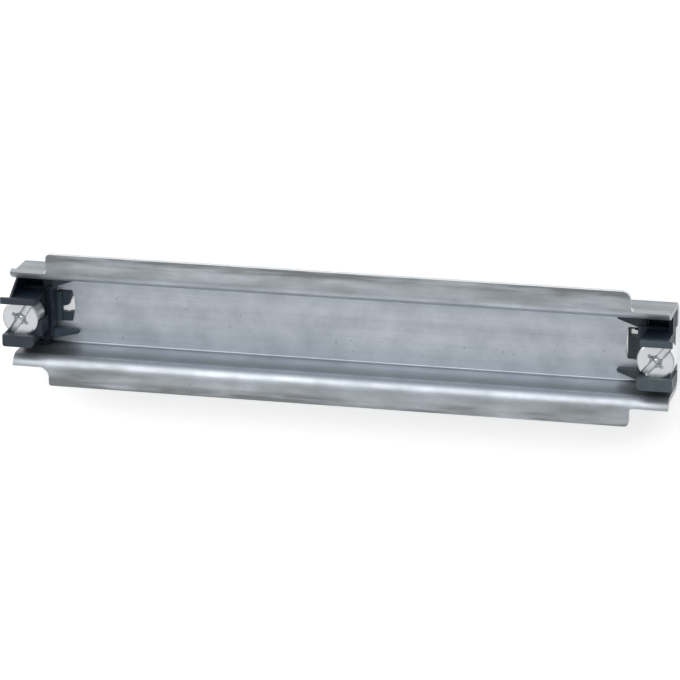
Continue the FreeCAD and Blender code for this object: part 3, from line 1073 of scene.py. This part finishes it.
@dataclass
class CaptiveScrew:
    """Cheese-head screw with a slot and a cross recess. Millimetres."""

    shape: HolderShape
    rail: HatRail
    head_radius: float = 4.8
    head_height: float = 5.8
    head_front: float = 14.9
    head_foot: float = 0.25                         # chamfer under the head
    head_brow: tuple[tuple[float, float], ...] = (  # in from the side and down from the front
        (0.0, 0.55), (0.12, 0.22), (0.4, 0.04), (0.7, 0.0))
    shank_radius: float = 2.45
    shank_end: float = 0.2
    shank_chamfer: float = 0.6
    slot_width: float = 2.0
    slot_floor: float = 1.1
    slot_depth: float = 1.4
    cross_half: float = 2.55
    cross_depth: float = 1.9
    arm_end: float = 0.5                            # radius of an arm's round end
    arm_end_turn: float = 240.0                     # how far round that end goes, in degrees
    arm_side: tuple[tuple[float, float], ...] = ((1.9, 0.85), (1.15, 1.15), (0.65, 1.5))
    arm_draft: tuple[float, float] = (0.25, 0.5)    # floor's size as a share of the mouth's
    pip: tuple[float, float] = (0.85, 1.25)         # radius and height of the raised centre
    pip_sink: float = 0.2                           # how deep its foot is sunk below the recess
    pip_clear: float = 1.3                          # share of its radius within which it keeps its finish
    front_ring: float = 0.8                         # width of the head's front round the drive
    flank_depth: float = 3.0                        # how far down a face can still be the drive's
    flank_rise: float = 0.75                        # largest upright part of a flank's normal
    edge_round: float = 0.08
    facets: int = 96
    pip_facets: int = 24
    end_steps: int = 8
    dome_steps: int = 5

    def cross_outline(self) -> list[tuple[float, float]]:
        """Draws the two arms across the slot, flared at their roots and round at their ends.

        Returns:
            Closed plan outline in millimetres.
        """
        arm = [*self.arm_side,
               *arc((0, self.cross_half - self.arm_end), self.arm_end, 90 - self.arm_end_turn / 2,
                    self.arm_end_turn, self.end_steps),
               *((-x, y) for x, y in reversed(self.arm_side))]
        return arm + [(-x, -y) for x, y in arm]

    def cross_punch(self) -> bpy.types.Object:
        """Makes the punch of the cross recess, drafted on all its sides.

        Returns:
            The punch, running past the head's front.
        """
        top, low = self.head_front, self.head_front - self.cross_depth
        shape = bmesh.new()
        rings = []
        for scale, height in ((self.arm_draft, low), ((1, 1), top), ((1, 1), top + PAST)):
            rings.append([shape.verts.new((x * scale[0] * MM, y * scale[1] * MM, height * MM))
                          for x, y in self.cross_outline()])
        shape.faces.new(rings[0])
        shape.faces.new(rings[-1])
        for below, above in zip(rings, rings[1:]):
            for i in range(len(below)):
                j = (i + 1) % len(below)
                shape.faces.new([below[i], below[j], above[j], above[i]])
        bmesh.ops.recalc_face_normals(shape, faces=shape.faces)
        return from_shape("cross", shape)

    def driven(self) -> bpy.types.Object:
        """Turns the head and shank, and presses the slot and the cross recess into the head.

        Returns:
            The screw, upright at the origin.
        """
        top, low, r = self.head_front, self.head_front - self.head_height, self.head_radius
        outline = [(0, self.shank_end), (self.shank_radius - self.shank_chamfer, self.shank_end),
                   (self.shank_radius, self.shank_end + self.shank_chamfer), (self.shank_radius, low),
                   (r - self.head_foot, low), (r, low + self.head_foot),
                   *((r - aside, top - down) for aside, down in self.head_brow), (0, top)]
        screw = turned(f"screw_{self.shape.end.name.lower()}_dressed", outline, self.facets)
        wide, narrow, floor = self.slot_width / 2, self.slot_floor / 2, top - self.slot_depth
        section = [(-wide, top), (-narrow, floor), (narrow, floor), (wide, top), (wide, top + PAST),
                   (-wide, top + PAST)]
        slot = lay(prism("slot", section, -r - PAST, r + PAST), Along.X)
        combine(screw, [slot, self.cross_punch()], Join.CUT)
        radius, rise = self.pip
        bottom = top - self.cross_depth
        dome = [(radius * x, bottom + rise * y) for x, y in arc((0, 0), 1.0, 0, 90, self.dome_steps)[:-1]]
        foot = bottom - self.pip_sink
        pip = turned("pip", [(0, foot), (radius, foot), *dome, (0, bottom + rise)], self.pip_facets)
        return combine(screw, [pip], Join.ADD)

    def build(self, plate: bpy.types.Material, recess: bpy.types.Material) -> bpy.types.Object:
        """Finishes the drive's flanks, turns the drive to its angle and seats the screw.

        Args:
            plate: Finish of the screw.
            recess: Finish of the drive's flanks, greyer as painted shade.

        Returns:
            The finished screw.
        """
        screw = self.driven()
        screw.data.materials.append(plate)
        screw.data.materials.append(recess)
        near, far = self.pip[0] * self.pip_clear * MM, (self.head_radius - self.front_ring) * MM
        # Painted shade: the flanks of the drive take the greyer recess finish
        for face in screw.data.polygons:
            inside = near < face.center.to_2d().length < far
            shallow = face.center.z > (self.head_front - self.flank_depth) * MM
            face.material_index = int(inside and shallow and abs(face.normal.z) < self.flank_rise)
        screw.data.transform(Matrix.Rotation(math.radians(self.shape.drive_degrees), 4, "Z"))
        place = self.shape.end.value * (self.rail.length / 2 - self.shape.axis_in) * MM
        screw.data.transform(Matrix.Translation((place, 0, 0)))
        merge_flats(screw)
        round_edges(screw, self.edge_round)
        return screw


@dataclass(frozen=True)
class SoftBox:
    """A wide lamp that faces the object. Metres and watts."""

    name: str
    place: tuple[float, float, float]
    size: tuple[float, float]
    watts: float

    def build(self) -> None:
        """Adds the lamp to the scene."""
        data = bpy.data.lights.new(self.name, "AREA")
        data.shape = "RECTANGLE"
        data.size, data.size_y = self.size
        data.energy = self.watts
        made = as_object(self.name, data)
        made.location = self.place
        made.rotation_euler = (-Vector(self.place)).to_track_quat("-Z", "Y").to_euler()


@dataclass
class Studio:
    """White sweep, soft boxes and the camera. Aim in millimetres, other lengths in metres."""

    azimuth: float = 13.55
    elevation: float = 17.92
    roll: float = 0.35
    distance: float = 1.0548
    lens: float = 221.27
    sensor: float = 36.0
    sight: tuple[float, float] = (0.05, 20.0)       # nearest and farthest that the camera sees
    aim_right: float = -0.16
    aim_up: float = -2.28
    aim_height: float = 7.5
    room_light: float = 0.38
    paper: str = "F2F2F2"
    paper_glow: float = 0.42
    floor_half: float = 3.0
    boxes: tuple[SoftBox, ...] = (
        SoftBox("soft_box_above", (-0.2, -0.45, 1.1), (2.2, 1.0), 2.4),
        SoftBox("window_behind", (-0.25, 0.92, 0.82), (2.6, 1.0), 14.8),
        SoftBox("reflector_before", (0.0, -1.15, 0.36), (2.4, 0.7), 3.4))

    def camera(self) -> None:
        """Places the camera at the photograph's viewing angle."""
        a, e = math.radians(self.azimuth), math.radians(self.elevation)
        back = Vector((math.sin(a) * math.cos(e), math.sin(e), math.cos(a) * math.cos(e)))
        up = Vector((-math.sin(a) * math.sin(e), math.cos(e), -math.cos(a) * math.sin(e)))
        right = up.cross(back)
        turn = math.radians(self.roll)
        up, right = (up * math.cos(turn) + right * math.sin(turn),
                     right * math.cos(turn) - up * math.sin(turn))
        aim = Vector((0, 0, self.aim_height * MM)) + (right * self.aim_right + up * self.aim_up) * MM
        data = bpy.data.cameras.new("photo_camera")
        data.lens = self.lens
        data.sensor_width = self.sensor
        data.clip_start, data.clip_end = self.sight
        made = as_object("photo_camera", data)
        place = Matrix((right, up, back)).transposed().to_4x4()
        place.translation = aim + back * self.distance
        made.matrix_world = place
        bpy.context.scene.camera = made

    def floor(self) -> None:
        """Lays the floor."""
        # Matt paper, lifted only for the eye: it shows as white and still keeps the object's shadow
        material, tree = new_material("white_paper_sweep")
        seen = add_node(tree, "ShaderNodeLightPath")
        either = add_node(tree, "ShaderNodeMath", {0: seen.outputs["Is Camera Ray"],
                                                   1: seen.outputs["Is Glossy Ray"]}, operation="MAXIMUM")
        any_ray = add_node(tree, "ShaderNodeMath", {0: either.outputs[0],
                                                    1: seen.outputs["Is Transmission Ray"]},
                           operation="MAXIMUM")
        paper = add_node(tree, "ShaderNodeBsdfDiffuse", {"Color": linear(self.paper)})
        glow = add_node(tree, "ShaderNodeEmission", {"Color": linear("FFFFFF"), "Strength": self.paper_glow})
        dark = add_node(tree, "ShaderNodeEmission", {"Color": linear("000000"), "Strength": 0.0})
        lift = add_node(tree, "ShaderNodeMixShader", {0: any_ray.outputs[0], 1: dark.outputs[0],
                                                      2: glow.outputs[0]})
        both = add_node(tree, "ShaderNodeAddShader", {0: paper.outputs[0], 1: lift.outputs[0]})
        add_node(tree, "ShaderNodeOutputMaterial", {"Surface": both.outputs[0]})
        mesh = bpy.data.meshes.new("floor")
        far = self.floor_half
        mesh.from_pydata([(-far, -far, 0), (far, -far, 0), (far, far, 0), (-far, far, 0)], [], [(0, 1, 2, 3)])
        floor = as_object("floor", mesh)
        mesh.materials.append(material)

    def world(self) -> None:
        """Gives the room an even pale light."""
        world = bpy.data.worlds.new("studio_room")
        bpy.context.scene.world = world
        world.use_nodes = True
        tree = world.node_tree
        tree.nodes.clear()
        sky = add_node(tree, "ShaderNodeBackground", {"Color": linear("FFFFFF"), "Strength": self.room_light})
        add_node(tree, "ShaderNodeOutputWorld", {"Surface": sky.outputs[0]})

    def build(self) -> None:
        """Sets up floor, light and camera."""
        self.world()
        self.floor()
        for box in self.boxes:
            box.build()
        self.camera()
        bpy.context.scene.view_settings.view_transform = "Standard"


def holder_shapes() -> list[HolderShape]:
    """Gives the two holders' own sizes.

    Returns:
        The left holder's and the right holder's.
    """
    toe_half = 4.0
    left = HolderShape(
        end=End.LEFT, axis_in=2.45, inset=0.0, drive_degrees=57.0, upper_lip=(2.1, 4.4),
        lower_lip=(1.8, 4.05), fins={Side.UPPER: (5.4, 7.3, 8.6, 8.3), Side.LOWER: (5.05, 6.25, 8.0, 7.15)},
        toes=[[(2.6, -0.05), (1.55, 0.3), (1.3, 1.2), (0.75, 2.3), (0.75, toe_half)],
              [(0.75, -toe_half), (0.5, -1.5), (1.5, -1.6), (1.9, -1.9), (2.6, -1.7)]])
    right = HolderShape(
        end=End.RIGHT, axis_in=3.2, inset=0.35, drive_degrees=49.0, upper_lip=(1.25, 3.65),
        lower_lip=(1.3, 4.4), fins={Side.UPPER: (5.1, 6.5, 8.9, 7.5), Side.LOWER: (6.1, 6.45, 8.9, 7.4)},
        toes=[[(0.7, -toe_half), (0.7, toe_half)]])
    return [left, right]


def main() -> None:
    """Builds every piece in order and reports it."""
    strip = GalvanisedSteel().build()
    edge = ShearedSteel().build()
    # Painted light: the right moulding's front is painted paler and greyer than the left one's
    plastics = {
        End.LEFT: MouldedPolyamide("black_polyamide_moulding", painted_front_sheen="3C444D", inner="4C5A66").build(),
        End.RIGHT: MouldedPolyamide("black_polyamide_paler_moulding", painted_front_sheen="545F65",
                                    inner="485258").build()}
    zinc = BrightZincPlate().build()
    # Painted shade: the drive's flanks get a greyer zinc than the head, and a rougher one
    recess = BrightZincPlate("thin_zinc_in_recess", light="DADDE0", haze="C8CCD1",
                             roughness=Fade(0.0, 1.0, 0.3, 0.42)).build()
    rail = HatRail()
    seat(rail.build(strip, edge), strip, "galvanised_steel", "rail")
    for shape in holder_shapes():
        place = shape.end.name.lower()
        seat(ScrewHolder(shape, rail).build(), plastics[shape.end], "black_plastic",
             f"screw_holder_{place}")
        seat(CaptiveScrew(shape, rail).build(zinc, recess), zinc, "zinc_plated_screw", f"screw_{place}")
    Studio().build()


if __name__ == "__main__":
    logging.basicConfig(level=logging.INFO)
    main()
